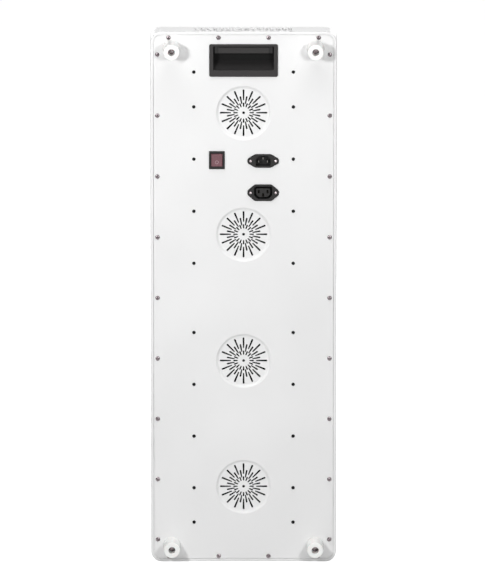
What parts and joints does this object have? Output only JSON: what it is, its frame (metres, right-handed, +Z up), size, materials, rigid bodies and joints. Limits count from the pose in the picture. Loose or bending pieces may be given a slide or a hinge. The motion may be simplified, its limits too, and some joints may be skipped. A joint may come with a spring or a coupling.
{
  "type": "red light therapy panel",
  "caption": "Slim upright light panel: white housing with pressed fan grilles, flush handle, rocker switch, mains sockets and stand-off feet on its rear, lenses on its front.",
  "frame": {"origin": "middle of the housing's bottom face, on the floor", "axes": "+Z up the panel's height, +X to the right as seen from the rear, +Y from the rear cover towards the lit front"},
  "size_m": [0.295, 0.0809, 0.86],
  "materials": {
    "white_coat": "satin white powder coat",
    "white_nylon": "moulded, matte",
    "clear_lens": "clear moulded polycarbonate",
    "led_board": "white solder mask on metal core",
    "mill_aluminium": "extruded, mill finish",
    "fan_plastic": "moulded, black",
    "black_moulding": "fine-textured black moulding",
    "rocker_red": "translucent dusky red moulding",
    "nickel_plate": "nickel plated"
  },
  "bodies": {
    "panel": {"housing_frame": "white_coat", "rear_cover": "white_coat", "rear_foot_lower_left": "white_nylon", "rear_foot_lower_right": "white_nylon", "rear_foot_upper_left": "white_nylon", "rear_foot_upper_right": "white_nylon", "lens_panel_1": "clear_lens", "lens_panel_2": "clear_lens", "lens_panel_3": "clear_lens", "lens_panel_4": "clear_lens", "lens_panel_5": "clear_lens", "led_board_1": "led_board", "led_board_2": "led_board", "led_board_3": "led_board", "led_board_4": "led_board", "led_board_5": "led_board", "heat_sink_1": "mill_aluminium", "heat_sink_2": "mill_aluminium", "heat_sink_3": "mill_aluminium", "heat_sink_4": "mill_aluminium", "heat_sink_5": "mill_aluminium", "led_driver_1": "mill_aluminium", "led_driver_2": "mill_aluminium", "led_driver_3": "mill_aluminium", "led_driver_4": "mill_aluminium", "led_driver_5": "mill_aluminium", "fan_frame_1": "fan_plastic", "fan_frame_2": "fan_plastic", "fan_frame_3": "fan_plastic", "fan_frame_4": "fan_plastic", "handle_cup": "black_moulding", "switch_body": "black_moulding", "inlet_body": "black_moulding", "inlet_pin_live": "nickel_plate", "inlet_pin_neutral": "nickel_plate", "inlet_pin_earth": "nickel_plate", "outlet_body": "black_moulding", "outlet_contact_live": "nickel_plate", "outlet_contact_neutral": "nickel_plate", "outlet_contact_earth": "nickel_plate"},
    "rocker": {"switch_rocker": "rocker_red"},
    "fan_1": {"fan_rotor_1": "fan_plastic"},
    "fan_2": {"fan_rotor_2": "fan_plastic"},
    "fan_3": {"fan_rotor_3": "fan_plastic"},
    "fan_4": {"fan_rotor_4": "fan_plastic"}
  },
  "joints": [
    {"name": "rocker_tilt", "type": "hinge", "parent": "panel", "child": "rocker", "pos_m": [-0.0423, -0.0204, 0.65325], "axis": [-1, 0, 0], "range_deg": [0, 20]},
    {"name": "fan_1_spin", "type": "hinge", "parent": "panel", "child": "fan_1", "pos_m": [0, -0.0171, 0.1225], "axis": [0, 1, 0], "continuous": true},
    {"name": "fan_2_spin", "type": "hinge", "parent": "panel", "child": "fan_2", "pos_m": [0, -0.0171, 0.3275], "axis": [0, 1, 0], "continuous": true},
    {"name": "fan_3_spin", "type": "hinge", "parent": "panel", "child": "fan_3", "pos_m": [0, -0.0171, 0.5325], "axis": [0, 1, 0], "continuous": true},
    {"name": "fan_4_spin", "type": "hinge", "parent": "panel", "child": "fan_4", "pos_m": [0, -0.0171, 0.729], "axis": [0, 1, 0], "continuous": true}
  ]
}
